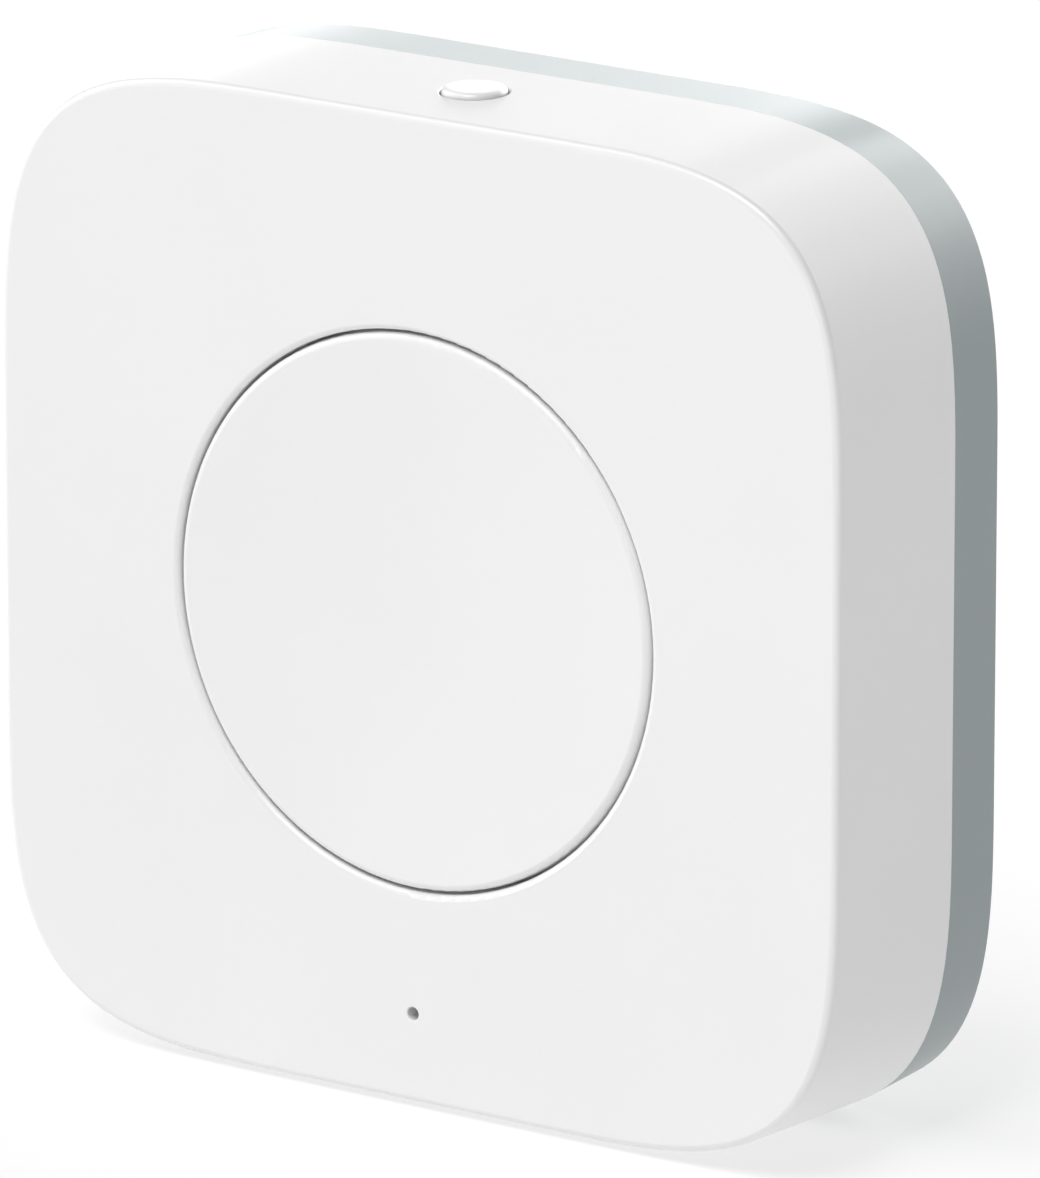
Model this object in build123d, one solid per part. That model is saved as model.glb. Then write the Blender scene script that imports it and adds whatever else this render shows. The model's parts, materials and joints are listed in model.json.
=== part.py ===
from build123d import *
from math import asin, degrees, radians, tan
import os

# Smart button for a wall: a white rounded-square housing with a round dished button, a
# pinhole light below it, a small reset button in the top side and a grey rear cover that
# pulls off for the coin cell. Sizes are millimetres and degrees.
# Every piece is modelled lying on its back, with Z away from the wall and Y up the wall,
# and is stood upright when it is written: X right, Y into the wall, Z up, with the origin
# at the centre of the face that meets the wall.

# Housing and rear cover, the white and the grey half of the outside
body_width = 45.0
side_flat = 15.55
front_depth = 8.55
rear_depth = 3.6
front_draft = 1.83
rear_draft = 2.2
wall = 1.25
front_wall = 1.3
rear_wall = 1.4
face_round = 0.33
rear_round = 0.12
cavity_round = 0.8
corner_shares = (0.4, 0.8)
overrun = 0.5
root = 0.4
touch_gap = 0.05

# Main button, its hole and the collar that guides it
button_margin = 9.895
button_gap = 0.13
button_travel = 0.3
button_dish = 0.45
button_wall = 1.2
button_round = 0.36
hole_round = 0.28
flange_reach = 0.9
flange_thickness = 0.7
skirt_wall = 1.2
skirt_drop = 0.35
post_radius = 1.6
button_ribs = 6
button_rib_thickness = 0.8
button_rib_depth = 0.7
collar_gap = 0.2
collar_wall = 0.9
collar_spare = 0.55
button_keys = 3
key_width = 1.6
key_depth = 0.75
key_gap = 0.15

# Pinhole light
light_margin = 4.32
pinhole_radius = 0.3
pinhole_round = 0.07
pipe_radius = 1.05
pipe_flange_radius = 1.5
pipe_flange = 0.5
pipe_tip_rise = 0.6
tube_wall = 0.65
lamp_length = 1.6
lamp_width = 0.8
lamp_height = 0.6

# Reset button in the top side
reset_forward = 3.76
reset_radius = 1.45
reset_gap = 0.1
reset_out = 0.2
reset_travel = 0.3
reset_round = 0.25
reset_hole_round = 0.08
reset_flange_radius = 2.1
reset_flange = 0.6
reset_stem_radius = 0.75
reset_guide_gap = 0.2
reset_guide_wall = 0.6
reset_guide_depth = 1.2

# Coin cell, the stack that it sets and the circuit board
cell_clearance = 0.3
cell_margin = 12.5
cell_height = 3.2
cell_sheet = 0.25
cell_round = 0.45
cell_step = 1.2
cell_cap_rise = 0.25
cell_lip = 0.95
cell_seal_gap = 0.03
cell_seal_depth = 1.2
contact_room = 0.6
board_thickness = 1.0
board_gap = 0.6
boss_margin = 7.2
boss_radius = 1.9
pilot_radius = 0.7
pin_radius = 0.75
pin_stand = 0.4
board_hole_gap = 0.08

# Screws that hold the board to the housing
screw_radius = 0.65
screw_length = 3.6
screw_tip = 0.5
screw_head_radius = 1.4
screw_head = 0.7
screw_head_bevel = 0.25
screw_slot = 0.3
screw_slot_length = 1.9
screw_slot_depth = 0.35

# Ribs inside the housing
corner_rib_thickness = 0.8
corner_rib_depth = 1.4
stop_rib_thickness = 0.8
stop_rib_depth = 1.1
stop_rib_place = 7.0

# Main switch in the middle of the board's front
switch_width = 6.0
switch_height = 1.7
switch_bevel = 0.3
switch_floor = 0.5
switch_wall = 0.5
switch_peg_radius = 0.35
switch_peg_edge = 0.55
switch_plate = 0.25
switch_ear_width = 3.0
switch_ear_depth = 1.2
plunger_step = 0.5
plunger_gap = 0.1
plunger_spare = 0.3
plunger_flange_gap = 0.3
plunger_flange = 0.35
plunger_nub_radius = 0.7
dome_gap = 0.15
dome_rise = 0.45
dome_sheet = 0.08
lead_width = 0.7
lead_sheet = 0.2
lead_reach = 1.2
lead_climb = 0.8
lead_edge = 0.75

# Side switch under the reset button
side_switch_width = 4.6
side_switch_depth = 2.6
side_switch_sheet = 0.2
side_switch_reach = 0.8
side_bore_width = 3.0
side_bore_height = 1.2
side_bore_depth = 2.0
side_plunger_width = 1.5
side_plunger_height = 0.8
side_plunger_flange_width = 2.5
side_plunger_flange = 0.5
side_dome_width = 2.6
side_dome_height = 1.0
side_dome_rise = 0.4

# Cradle of the cell and its two spring contacts
cradle_gap = 0.15
cradle_wall = 1.25
cradle_floor = 0.75
cradle_ledge = 1.0
cradle_height = 2.9
thumb_width = 7.0
cradle_peg_radius = 0.7
cradle_peg_angles = (40.0, 220.0)
contact_sheet = 0.2
contact_width = 3.0
contact_slot_gap = 0.3
contact_foot = 2.2
contact_bow = 1.1
finger_foot = 2.4
finger_share = 0.8
finger_tip = 1.4

# Radio under its shield, the antenna and the small parts on the board
shield_gap = 1.2
shield_edge = 1.36
shield_length = 13.0
shield_height = 1.8
shield_sheet = 0.2
shield_round = 0.4
chip_gap = 0.8
chip_height = 0.85
chip_place = 2.6
crystal_width = 2.5
crystal_length = 3.2
crystal_height = 0.7
crystal_place = 4.0
trace_width = 0.6
trace_thickness = 0.06
trace_reach = 4.8
trace_pitch = 1.5
trace_turns = 6
trace_edge = 1.0
pad_radius = 0.55
pad_pitch = 1.6
pad_count = 5
pad_edge = 2.2
small_part_length = 1.2
small_part_width = 0.7
capacitor_height = 0.65
resistor_height = 0.4
capacitor_place_shares = ((-0.62, 0.52), (-0.48, 0.62), (0.44, 0.66), (0.34, -0.7), (-0.34, -0.7))
resistor_place_shares = ((0.6, 0.46), (-0.58, -0.5), (0.22, -0.74), (-0.22, -0.74))

# Rear cover: its skirt, spring arms, posts, ribs, pry notch and the foam pad behind it
skirt_gap = 0.1
skirt_thickness = 0.9
skirt_height = 1.55
arm_width = 4.0
arm_place = 5.5
arm_height = 4.8
arm_nose_radius = 0.45
arm_nose_gap = 0.02
arm_side_gap = 0.25
channel_depth = 0.35
post_foot_radius = 1.7
post_relief_gap = 0.25
cell_rib_inset = 2.0
cell_rib_thickness = 0.8
pry_radius = 12.0
pry_depth = 0.9
pry_height = 0.9
pad_recess = 0.6
pad_margin = 5.5
pad_side_gap = 0.2

# Heights above the wall that the stack gives
seam = rear_depth
face = rear_depth + front_depth
inside = face - front_wall
cell_low = rear_wall + cell_clearance
cell_high = cell_low + cell_height
board_back = cell_high + contact_room
board_front = board_back + board_thickness
reset_axis = seam + reset_forward
switch_top = board_front + switch_height
plunger_top = switch_top + switch_plate + button_travel + plunger_spare
button_hole_radius = body_width / 2 - button_margin
button_radius = button_hole_radius - button_gap
flange_radius = button_radius + flange_reach
flange_top = inside - touch_gap
collar_radius = flange_radius + collar_gap
collar_low = flange_top - flange_thickness - button_travel - collar_spare
light_drop = body_width / 2 - light_margin
boss_place = body_width / 2 - boss_margin
pad_width = body_width - 2 * pad_margin
cell_radius = body_width / 2 - cell_margin
cell_cap_radius = cell_radius - cell_step
cell_rib_radius = cell_radius - cell_rib_inset
cradle_radius = cell_radius + cradle_gap
switch_bore_radius = switch_width / 2 - switch_wall
plunger_flange_radius = switch_bore_radius - plunger_flange_gap
plunger_radius = plunger_flange_radius - plunger_step
dome_radius = switch_bore_radius - dome_gap
switch_peg_place = switch_width / 2 - switch_peg_edge
lead_place = switch_width / 2 - lead_edge
BOTTOM = (Align.CENTER, Align.CENTER, Align.MIN)


def housing_width(height):
    """Outer width of the white housing at a height above the wall."""
    return body_width - 2 * (height - seam) * tan(radians(front_draft))


def cover_width(height):
    """Outer width of the grey rear cover at a height above the wall."""
    return body_width - 2 * (seam - height) * tan(radians(rear_draft))


def cavity_width(height):
    """Width between the housing's inner walls, which follow the outer draft."""
    return housing_width(height) - 2 * wall


def skirt_width(height):
    """Outer width of the cover's skirt, which plugs into the housing."""
    return cavity_width(height) - 2 * skirt_gap


board_width = cavity_width(board_front) - 2 * board_gap
shield_width = board_width / 2 - shield_edge - cradle_radius - cradle_wall - shield_gap
shield_place = board_width / 2 - shield_edge - shield_width / 2
chip_width = shield_width - 2 * chip_gap


def outline(width):
    """Rounded square whose corners grow and lose their curvature steadily."""
    half, flat = width / 2, side_flat / 2
    soft, full = [flat + share * (half - flat) for share in corner_shares]
    side = Line((half, -flat), (half, flat))
    corner = Bezier(
        (half, flat), (half, soft), (half, full), (full, half), (soft, half), (flat, half)
    )
    return make_face([Rot(0, 0, 90 * turn) * edge for turn in range(4) for edge in (side, corner)])


def drafted(width_at, low, high):
    """Rounded-square block whose width follows the draft from one height to another."""
    return loft([Pos(0, 0, z) * outline(width_at(z)) for z in (low, high)], ruled=True)


def topmost(solid):
    """Edges round the uppermost face."""
    return solid.faces().sort_by(Axis.Z)[-1].edges()


def undermost(solid):
    """Edges round the lowest face."""
    return solid.faces().sort_by(Axis.Z)[0].edges()


def disc(radius, low, high):
    """Upright cylinder between two heights."""
    return Pos(0, 0, low) * Cylinder(radius, high - low, align=BOTTOM)


def ring(inner, outer, low, high):
    """Upright tube between two heights."""
    return disc(outer, low, high) - disc(inner, low - overrun, high + overrun)


def block(x, y, z):
    """Box between a low and a high place on each axis."""
    return Pos(x[0], y[0], z[0]) * Box(
        x[1] - x[0], y[1] - y[0], z[1] - z[0], align=(Align.MIN, Align.MIN, Align.MIN)
    )


def centred(width, length, low, high):
    """Box centred on the middle, between two heights."""
    return Pos(0, 0, low) * Box(width, length, high - low, align=BOTTOM)


def around(count, piece, start=0):
    """Copies of a piece, evenly spaced about the middle."""
    return [Rot(0, 0, start + 360 * turn / count) * piece for turn in range(count)]


def rim_edges(solid, centre, reach):
    """Edges that lie round a centre and near it on every side."""
    return [edge for edge in solid.edges() if (edge.bounding_box().center() - centre).length < reach]


def upward(profile):
    """Turns a piece made along Z so that it points up the wall at the reset button."""
    return Pos(0, 0, reset_axis) * Rot(-90, 0, 0) * profile


screw_places = ((-boss_place, boss_place), (boss_place, -boss_place))
pin_places = ((boss_place, boss_place), (-boss_place, -boss_place))
arm_sides = [(turn, place) for turn in (0, 180) for place in (-arm_place, arm_place)]


def front_housing():
    """White moulding: drafted shell, button collar, bosses, pins, ribs and guides."""
    shell = fillet(topmost(drafted(housing_width, seam, face)), face_round)
    cavity = drafted(cavity_width, seam - overrun, inside)
    shell -= fillet(topmost(cavity), cavity_round)
    shell += housing_inside()
    shell -= disc(button_hole_radius, inside - overrun, face + overrun)
    shell -= Pos(0, -light_drop, 0) * disc(pinhole_radius, inside - overrun, face + overrun)
    shell -= upward(disc(reset_radius + reset_gap, body_width / 2 - 2 * wall, body_width / 2 + overrun))
    for turn, place in arm_sides:
        shell -= Rot(0, 0, turn) * Pos(0, place, 0) * arm_channel()
    for x, y in screw_places:
        shell -= Pos(x, y, 0) * disc(pilot_radius, board_front - overrun, board_front + screw_length)
    shell = fillet(rim_edges(shell, Vector(0, 0, face), overrun), hole_round)
    shell = fillet(rim_edges(shell, Vector(0, -light_drop, face), pinhole_radius), pinhole_round)
    outer = Vector(0, housing_width(reset_axis) / 2, reset_axis)
    return fillet(rim_edges(shell, outer, reset_radius / 2), reset_hole_round)


def housing_inside():
    """Everything that stands on the inner face of the housing."""
    pieces = [ring(collar_radius, collar_radius + collar_wall, collar_low, inside)]
    key = block(
        (collar_radius - key_depth, collar_radius + collar_wall / 2),
        (-key_width / 2, key_width / 2),
        (collar_low, inside),
    )
    pieces += around(button_keys, key, start=90)
    tube = ring(pipe_radius + touch_gap, pipe_radius + touch_gap + tube_wall, tube_low(), inside)
    pieces.append(Pos(0, -light_drop, 0) * tube)
    for x, y in screw_places + pin_places:
        pieces.append(Pos(x, y, 0) * disc(boss_radius, board_front, inside))
    for x, y in pin_places:
        pieces.append(Pos(x, y, 0) * disc(pin_radius, board_back - pin_stand, board_front))
    rib = block(
        (collar_radius + collar_wall / 2, boss_place * 2**0.5),
        (-corner_rib_thickness / 2, corner_rib_thickness / 2),
        (inside - corner_rib_depth, inside),
    )
    pieces += around(4, rib, start=45)
    pieces += stop_ribs()
    pieces += reset_guides()
    return pieces


def tube_low():
    """Lower end of the light tube, just clear of the light pipe's flange."""
    return board_front + lamp_height + 2 * touch_gap + pipe_flange


def stop_ribs():
    """Ribs on the side walls that the board's front face stops against."""
    edge = cavity_width(board_front) / 2
    rib = block(
        (edge - stop_rib_depth, edge + root),
        (-stop_rib_thickness / 2, stop_rib_thickness / 2),
        (board_front, inside),
    )
    beside = [Rot(0, 0, turn) * Pos(0, place, 0) * rib for turn in (90, 270)
              for place in (-stop_rib_place, stop_rib_place)]
    return [rib, Rot(0, 0, 180) * rib] + beside


def reset_guides():
    """Two ribs that keep the reset button's flange in line."""
    inner = reset_flange_radius + reset_guide_gap
    edge = cavity_width(reset_axis) / 2
    guide = block(
        (inner, inner + reset_guide_wall),
        (edge - reset_guide_depth, edge + root),
        (board_front + touch_gap, inside),
    )
    return [guide, mirror(guide, Plane.YZ)]


def arm_channel():
    """Shallow groove in the side wall, open at the seam, that a spring arm runs in."""
    edge = cavity_width(arm_nose_height()) / 2
    half = arm_width / 2 + arm_side_gap
    return block(
        (edge - root, edge + channel_depth), (-half, half), (seam - overrun, seam + arm_height + overrun)
    )


def arm_nose_height():
    """Height of the middle of a spring arm's nose."""
    return seam + arm_height - arm_nose_radius - touch_gap


def main_button():
    """Dished cap with a flange behind the face, a skirt, ribs and a post for the switch."""
    under = face - button_dish - button_wall
    flange_low = flange_top - flange_thickness
    skirt_low = flange_low - skirt_drop
    skirt_inner = button_radius - skirt_wall
    crown = button_radius - button_round
    dish_radius = (crown**2 + button_dish**2) / (2 * button_dish)
    dish_angle = degrees(asin(crown / dish_radius))
    edge = Polyline(
        (0, face - button_dish),
        (0, under),
        (skirt_inner, under),
        (skirt_inner, skirt_low),
        (button_radius, skirt_low),
        (button_radius, flange_low),
        (flange_radius, flange_low),
        (flange_radius, flange_top),
        (button_radius, flange_top),
        (button_radius, face - button_round),
    )
    rim = CenterArc((crown, face - button_round), button_round, 0, 90)
    dish = CenterArc((0, face - button_dish + dish_radius), dish_radius, 270, dish_angle)
    cap = revolve(Plane.XZ * make_face([edge, rim, dish]), Axis.Z)
    rib = block(
        (0, skirt_inner + skirt_wall / 2),
        (-button_rib_thickness / 2, button_rib_thickness / 2),
        (under - button_rib_depth, under),
    )
    cap += around(button_ribs, rib, start=90)
    cap += disc(post_radius, plunger_top + touch_gap, under)
    notch_width = key_width + 2 * key_gap
    notch = block(
        (collar_radius - key_depth - key_gap, flange_radius + overrun),
        (-notch_width / 2, notch_width / 2),
        (flange_low - overrun, flange_top + overrun),
    )
    return cap - around(button_keys, notch, start=90)


def light_pipe():
    """Clear rod that carries the lamp's light to the pinhole."""
    low = board_front + lamp_height + touch_gap
    rod = disc(pipe_radius, low, inside - touch_gap)
    rod += disc(pipe_flange_radius, low, low + pipe_flange)
    rod += disc(pinhole_radius - touch_gap, inside - root, inside + pipe_tip_rise)
    return Pos(0, -light_drop, 0) * rod


def status_led():
    """Small lamp on the board under the light pipe."""
    lamp = centred(lamp_length, lamp_width, board_front, board_front + lamp_height / 2)
    lens = centred(lamp_length / 2, lamp_width, board_front, board_front + lamp_height)
    return Pos(0, -light_drop, 0) * (lamp + lens)


def reset_outer():
    """Height up the wall of the reset button's outer end."""
    return housing_width(reset_axis) / 2 + reset_out


def reset_flange_top():
    """Height up the wall where the reset button's flange stops behind the side wall."""
    return cavity_width(reset_axis) / 2 - 2 * touch_gap


def side_plunger_end():
    """Height up the wall of the side switch's plunger."""
    return reset_flange_top() - reset_flange - reset_travel - 2 * touch_gap


def reset_button():
    """Small round cap in the top side, with a flange and a stem to the side switch."""
    cap = disc(reset_radius, reset_flange_top() - reset_flange, reset_outer())
    cap = fillet(topmost(cap), reset_round)
    cap += disc(reset_flange_radius, reset_flange_top() - reset_flange, reset_flange_top())
    cap += disc(reset_stem_radius, side_plunger_end() + touch_gap, reset_flange_top())
    return upward(cap)


def circuit_board():
    """Board with notches for the arms and the reset button, and holes for what passes through."""
    board = extrude(Pos(0, 0, board_back) * outline(board_width), board_thickness)
    edge = board_width / 2
    arm_inner = skirt_width(board_back) / 2 - skirt_thickness
    half = arm_width / 2 + arm_side_gap
    notch = block(
        (arm_inner - arm_side_gap, edge + overrun),
        (-half, half),
        (board_back - overrun, board_front + overrun),
    )
    for turn, place in arm_sides:
        board -= Rot(0, 0, turn) * Pos(0, place, 0) * notch
    reset_low = side_plunger_end() - reset_travel
    board -= block(
        (-reset_flange_radius - reset_guide_gap, reset_flange_radius + reset_guide_gap),
        (reset_low, edge + overrun),
        (board_back - overrun, board_front + overrun),
    )
    for places, radius in ((screw_places, screw_radius), (pin_places, pin_radius)):
        for x, y in places:
            board -= Pos(x, y, 0) * board_hole(radius)
    for x, y in cradle_pegs():
        board -= Pos(x, y, 0) * board_hole(cradle_peg_radius)
    return board


def board_hole(radius):
    """Cutter for a hole that clears a round piece of this radius."""
    return disc(radius + board_hole_gap, board_back - overrun, board_front + overrun)


def cradle_pegs():
    """Places of the cradle's pegs, in the middle of its wall."""
    middle = cradle_radius + cradle_wall / 2
    return [(spot.X, spot.Y) for spot in (Vector(middle, 0, 0).rotate(Axis.Z, angle)
            for angle in cradle_peg_angles)]


def board_screws():
    """Self-tapping screws, heads against the board's back."""
    head = disc(screw_head_radius, board_back - screw_head, board_back)
    head = chamfer(undermost(head), screw_head_bevel)
    slot_low, slot_high = board_back - screw_head - overrun, board_back - screw_head + screw_slot_depth
    head -= centred(screw_slot_length, screw_slot, slot_low, slot_high)
    head -= centred(screw_slot, screw_slot_length, slot_low, slot_high)
    end = board_back + screw_length
    shank = disc(screw_radius, board_back, end - screw_tip)
    tip = Pos(0, 0, end - screw_tip) * Cone(screw_radius, screw_radius / 2, screw_tip, align=BOTTOM)
    screw = head + shank + tip
    return Compound([Pos(x, y, 0) * solid for x, y in screw_places for solid in screw.solids()])


def main_switch_base():
    """Square switch body with a round well for its dome and plunger."""
    base = centred(switch_width, switch_width, board_front, switch_top)
    base = chamfer(base.edges().filter_by(Axis.Z), switch_bevel)
    base -= disc(switch_bore_radius, board_front + switch_floor, switch_top + overrun)
    peg = Pos(switch_peg_place, switch_peg_place, 0) * disc(
        switch_peg_radius, switch_top, switch_top + switch_plate + touch_gap
    )
    return base + around(4, peg)


def main_switch_cover():
    """Metal plate over the switch, with two ears folded down its sides."""
    plate = centred(switch_width, switch_width, switch_top, switch_top + switch_plate)
    plate = chamfer(plate.edges().filter_by(Axis.Z), switch_bevel)
    ear = block(
        (switch_width / 2, switch_width / 2 + switch_plate),
        (-switch_ear_width / 2, switch_ear_width / 2),
        (switch_top - switch_ear_depth, switch_top + switch_plate),
    )
    plate += [ear, mirror(ear, Plane.YZ)]
    plate -= disc(plunger_radius + plunger_gap, switch_top - overrun, switch_top + switch_plate + overrun)
    peg = Pos(switch_peg_place, switch_peg_place, 0) * disc(
        switch_peg_radius + touch_gap, switch_top - overrun, switch_top + switch_plate + overrun
    )
    return plate - around(4, peg)


def dome_apex():
    """Height of the top of the main switch's snap dome."""
    return board_front + switch_floor + touch_gap + dome_rise + dome_sheet


def main_switch_dome():
    """Domed steel disc that clicks and pushes the plunger back."""
    low = board_front + switch_floor + touch_gap
    return spherical_shell(dome_radius, dome_rise, dome_sheet, low)


def spherical_shell(radius, rise, sheet, low):
    """Thin cap of a sphere, standing on its rim."""
    sphere_radius = (radius**2 + rise**2) / (2 * rise)
    spread = degrees(asin(radius / sphere_radius))
    centre = (0, low + rise - sphere_radius)
    inner = CenterArc(centre, sphere_radius, 90, -spread)
    outer = CenterArc(centre, sphere_radius + sheet, 90, -spread)
    sides = [Line(inner @ 0, outer @ 0), Line(inner @ 1, outer @ 1)]
    return revolve(Plane.XZ * make_face([inner, outer, *sides]), Axis.Z)


def main_switch_plunger():
    """Round plunger with a flange under the plate and a nub on the dome."""
    flange_high = switch_top - touch_gap
    plunger = disc(plunger_radius, flange_high - plunger_flange, plunger_top)
    plunger += disc(plunger_flange_radius, flange_high - plunger_flange, flange_high)
    return plunger + disc(plunger_nub_radius, dome_apex() + touch_gap, flange_high)


def main_switch_leads():
    """Four bent leads, each from the switch's side down to the board."""
    side = switch_width / 2
    lead = block(
        (-lead_width / 2, lead_width / 2), (side, side + lead_reach), (board_front, board_front + lead_sheet)
    )
    lead += block(
        (-lead_width / 2, lead_width / 2), (side, side + lead_sheet), (board_front, board_front + lead_climb)
    )
    places = [(turn, x) for turn in (0, 180) for x in (-lead_place, lead_place)]
    return Compound([solid for turn, x in places
                     for solid in (Rot(0, 0, turn) * Pos(x, 0, 0) * lead).solids()])


def side_switch_front():
    """Height up the wall of the side switch's front, where its plunger leaves it."""
    return side_plunger_end() - side_switch_reach


def side_switch_high():
    """Top of the side switch, which is centred on the reset button's axis."""
    return 2 * reset_axis - board_front


def reset_switch_base():
    """Side switch body with a well that opens towards the reset button."""
    front = side_switch_front() - side_switch_sheet
    half = side_switch_width / 2
    base = block((-half, half), (front - side_switch_depth, front), (board_front, side_switch_high()))
    well = block(
        (-side_bore_width / 2, side_bore_width / 2),
        (front - side_bore_depth, front + overrun),
        (reset_axis - side_bore_height / 2, reset_axis + side_bore_height / 2),
    )
    return base - well


def reset_switch_frame():
    """Folded metal frame over the side switch, with a window for the plunger."""
    front = side_switch_front() - side_switch_sheet
    half = side_switch_width / 2
    high = side_switch_high()
    frame = block(
        (-half - side_switch_sheet, half + side_switch_sheet),
        (front - side_switch_depth / 2, front + side_switch_sheet),
        (board_front + side_switch_sheet, high + side_switch_sheet),
    )
    frame -= block((-half, half), (front - side_switch_depth, front), (board_front - overrun, high))
    window = centred(
        side_plunger_width + 2 * plunger_gap, side_plunger_height + 2 * plunger_gap,
        front - overrun, front + side_switch_sheet + overrun,
    )
    return frame - upward(window)


def reset_switch_plunger():
    """Flat plunger with a flange behind the frame's window."""
    flange_high = side_switch_front() - side_switch_sheet - touch_gap
    stem = centred(side_plunger_width, side_plunger_height, flange_high, side_plunger_end())
    flange_height = side_bore_height - 2 * plunger_gap
    flange = centred(side_plunger_flange_width, flange_height, flange_high - side_plunger_flange, flange_high)
    return upward(stem + flange)


def reset_switch_dome():
    """Bowed steel strip behind the side plunger."""
    flange_low = side_switch_front() - side_switch_sheet - touch_gap - side_plunger_flange
    high = flange_low - touch_gap
    bow = ThreePointArc(
        (-side_dome_width / 2, high - side_dome_rise), (0, high - dome_sheet),
        (side_dome_width / 2, high - side_dome_rise),
    )
    strip = extrude(trace(bow, dome_sheet), side_dome_height / 2, both=True)
    return Pos(0, 0, reset_axis) * strip


def cell_can():
    """Positive case of the coin cell, its flat end towards the rear cover."""
    rim = cell_high - cell_cap_rise
    case = fillet(undermost(disc(cell_radius, cell_low, rim)), cell_round)
    case -= disc(cell_radius - cell_sheet, cell_low + cell_sheet, rim - cell_sheet)
    return case - disc(cell_radius - cell_lip, cell_low + cell_sheet, rim + overrun)


def cell_cap():
    """Negative cap of the coin cell, towards the board."""
    low = cell_high - cell_cap_rise - cell_seal_depth
    cap = fillet(topmost(disc(cell_cap_radius, low, cell_high)), cell_sheet)
    return cap - disc(cell_cap_radius - cell_sheet, low - overrun, cell_high - cell_sheet)


def cell_gasket():
    """Nylon seal between the cell's case and its cap."""
    rim = cell_high - cell_cap_rise - cell_sheet
    inner = cell_cap_radius + cell_seal_gap
    seal = ring(inner, cell_radius - cell_sheet - cell_seal_gap, rim - cell_seal_depth, rim - cell_seal_gap)
    return seal + ring(inner, cell_radius - cell_lip - cell_seal_gap, rim - cell_seal_depth, rim + cell_sheet)


def cell_filling():
    """The cell's packed electrodes, one stepped disc."""
    low = cell_low + cell_sheet + cell_seal_gap
    step = cell_high - cell_cap_rise - cell_sheet - cell_seal_depth - cell_seal_gap
    filling = disc(cell_radius - cell_sheet - cell_seal_gap, low, step)
    inner = cell_cap_radius - cell_sheet - cell_seal_gap
    return filling + disc(inner, low, cell_high - cell_sheet - cell_seal_gap)


def battery_cradle():
    """Black ring that holds the cell, open at two sides for a thumb and at the top for a contact."""
    outer = cradle_radius + cradle_wall
    low = board_back - cradle_height
    cradle = ring(cradle_radius, outer, low, board_back)
    cradle = chamfer(cradle.edges().group_by(Axis.Z)[0], cradle_gap)
    cradle += ring(cell_radius - cradle_ledge, outer, board_back - cradle_floor, board_back)
    thumb = centred(2 * outer + overrun, thumb_width, low - overrun, board_back - cradle_floor)
    cradle -= thumb
    half = contact_width / 2 + contact_slot_gap
    slot_low = cell_radius - cradle_ledge - overrun
    slot = block((-half, half), (slot_low, outer + overrun), (low - overrun, board_back + overrun))
    cradle -= slot
    for x, y in cradle_pegs():
        cradle += Pos(x, y, 0) * disc(cradle_peg_radius, board_back, board_front + touch_gap)
    return cradle


def positive_contact():
    """Spring strip at the top of the cradle that bears on the side of the cell."""
    back = cradle_radius + cradle_wall + contact_sheet
    low = board_back - cradle_height + contact_sheet / 2
    high = board_back - contact_sheet / 2
    bow = cell_radius + touch_gap + contact_sheet / 2
    foot = Line((back + contact_foot, high), (back, high))
    rise = Line((back, high), (back, low))
    turn = ThreePointArc((back, low), (bow + contact_bow / 2, low - contact_sheet),
                         (bow + contact_sheet, low + contact_sheet))
    spring = ThreePointArc((bow + contact_sheet, low + contact_sheet), (bow, low + contact_bow),
                           (bow + contact_sheet, low + 2 * contact_bow - contact_sheet))
    strip = trace([foot, rise, turn, spring], contact_sheet)
    return extrude(Plane.YZ * strip, contact_width / 2, both=True)


def negative_contact():
    """Spring strip on the board that bears on the middle of the cell's cap."""
    high = board_back - contact_sheet / 2
    crest = cell_high + touch_gap + contact_sheet / 2
    start = finger_share * cell_radius / 2
    foot = Line((start + finger_foot, high), (start, high))
    finger = ThreePointArc((start, high), (0, crest), (-start + finger_tip, high - touch_gap))
    return extrude(Plane.XZ * trace([foot, finger], contact_sheet), contact_width / 2, both=True)


def radio_shield():
    """Thin metal can over the radio, open towards the board."""
    low = board_back - shield_height
    can = centred(shield_width, shield_length, low, board_back)
    can = fillet(can.edges().filter_by(Axis.Z), shield_round)
    inner = centred(shield_width - 2 * shield_sheet, shield_length - 2 * shield_sheet,
                    low + shield_sheet, board_back + overrun)
    return Pos(shield_place, 0, 0) * (can - inner)


def radio_chip():
    """Radio chip under the shield."""
    chip = centred(chip_width, chip_width, board_back - chip_height, board_back)
    return Pos(shield_place, chip_place, 0) * chip


def radio_crystal():
    """Timing crystal beside the chip."""
    crystal = centred(crystal_length, crystal_width, board_back - crystal_height, board_back)
    return Pos(shield_place, -crystal_place, 0) * crystal


def antenna_trace():
    """Meandering copper line along the board's left edge."""
    left = -board_width / 2 + trace_edge
    half = trace_turns * trace_pitch / 2
    points = []
    for turn in range(trace_turns + 1):
        y = turn * trace_pitch - half
        ends = (left, left + trace_reach)
        points += [(x, y) for x in (ends if turn % 2 else reversed(ends))]
    line = trace(Polyline(*points), trace_width)
    return extrude(Pos(0, 0, board_back - trace_thickness) * line, trace_thickness)


def test_pads():
    """Row of small gold pads along the board's lower edge."""
    pad = disc(pad_radius, board_back - trace_thickness, board_back)
    low = -board_width / 2 + pad_edge
    start = -(pad_count - 1) * pad_pitch / 2
    return Compound([solid for number in range(pad_count)
                     for solid in (Pos(start + number * pad_pitch, low, 0) * pad).solids()])


def board_parts(place_shares, height):
    """Small blocks on the board's back, placed as shares of its half width."""
    part = centred(small_part_length, small_part_width, board_back - height, board_back)
    half = board_width / 2
    return Compound([solid for x_share, y_share in place_shares
                     for solid in (Pos(x_share * half, y_share * half, 0) * part).solids()])


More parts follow.
